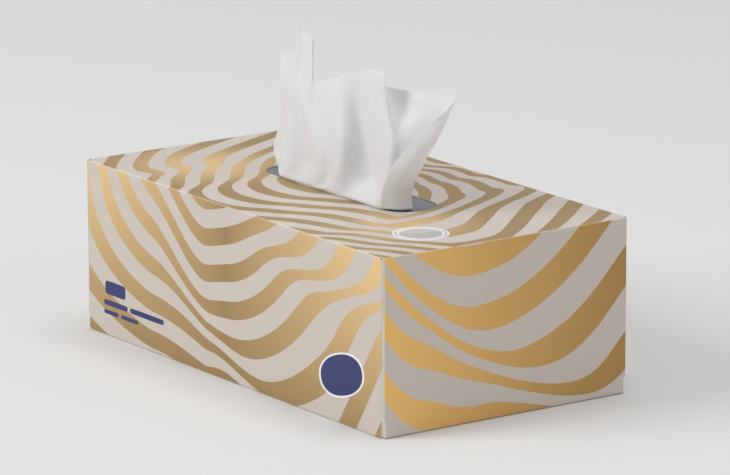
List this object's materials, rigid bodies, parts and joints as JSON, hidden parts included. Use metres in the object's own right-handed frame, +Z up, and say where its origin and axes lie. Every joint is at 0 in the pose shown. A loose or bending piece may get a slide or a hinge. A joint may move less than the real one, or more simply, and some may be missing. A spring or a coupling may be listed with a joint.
{
  "type": "tissue box",
  "caption": "Flat folded carton of facial tissues with a round-ended slot in its top, a film window under the slot and one sheet standing up through it.",
  "frame": {"origin": "middle of the carton's base, on the surface it stands on", "axes": "+X along the carton's length towards its right end, +Y towards the back, +Z up"},
  "size_m": [0.215, 0.12, 0.1335],
  "materials": {
    "printed_board": "gold and silver wavy print, satin",
    "carton_glue": "dried glue",
    "window_film": "thin semi-clear film",
    "tissue_paper": "soft two-ply tissue"
  },
  "bodies": {
    "root": {"carton": "printed_board", "side_seam_glue": "carton_glue", "left_end_glue": "carton_glue", "right_end_glue": "carton_glue", "slot_film": "window_film", "film_glue": "carton_glue", "tissue_stack": "tissue_paper", "pulled_tissue": "tissue_paper"}
  },
  "joints": []
}
